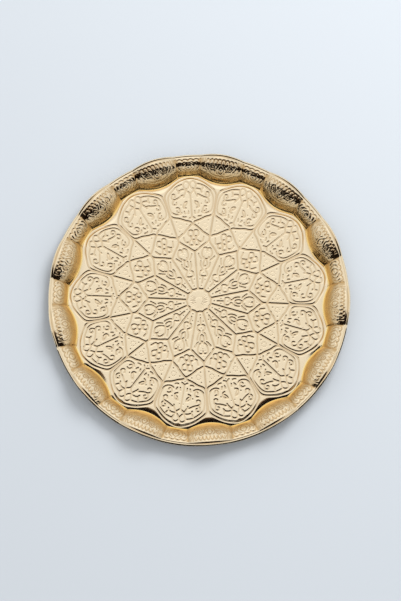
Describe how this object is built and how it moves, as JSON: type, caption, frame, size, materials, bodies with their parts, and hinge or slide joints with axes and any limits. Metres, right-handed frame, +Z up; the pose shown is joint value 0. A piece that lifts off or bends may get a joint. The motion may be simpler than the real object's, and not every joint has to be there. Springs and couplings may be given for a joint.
{
  "type": "serving tray",
  "caption": "Round pressed brass serving tray with a flat embossed floor, a scalloped wall of pillow-like lobes and flat panels, and an edge rolled round a wire.",
  "frame": {"origin": "on the tray's axis, at the height of the table that it stands on", "axes": "+Z up, out of the open side; +Y through the middle of one flat panel of the wall; the X = 0 plane is a mirror plane"},
  "size_m": [0.3168, 0.3168, 0.0195],
  "materials": {
    "pressed_brass": "polished, with fine chased and embossed ornament",
    "wire_steel": "drawn steel wire, hidden in the rolled edge"
  },
  "bodies": {
    "root": {"tray_sheet": "pressed_brass", "rim_wire": "wire_steel"}
  },
  "joints": []
}
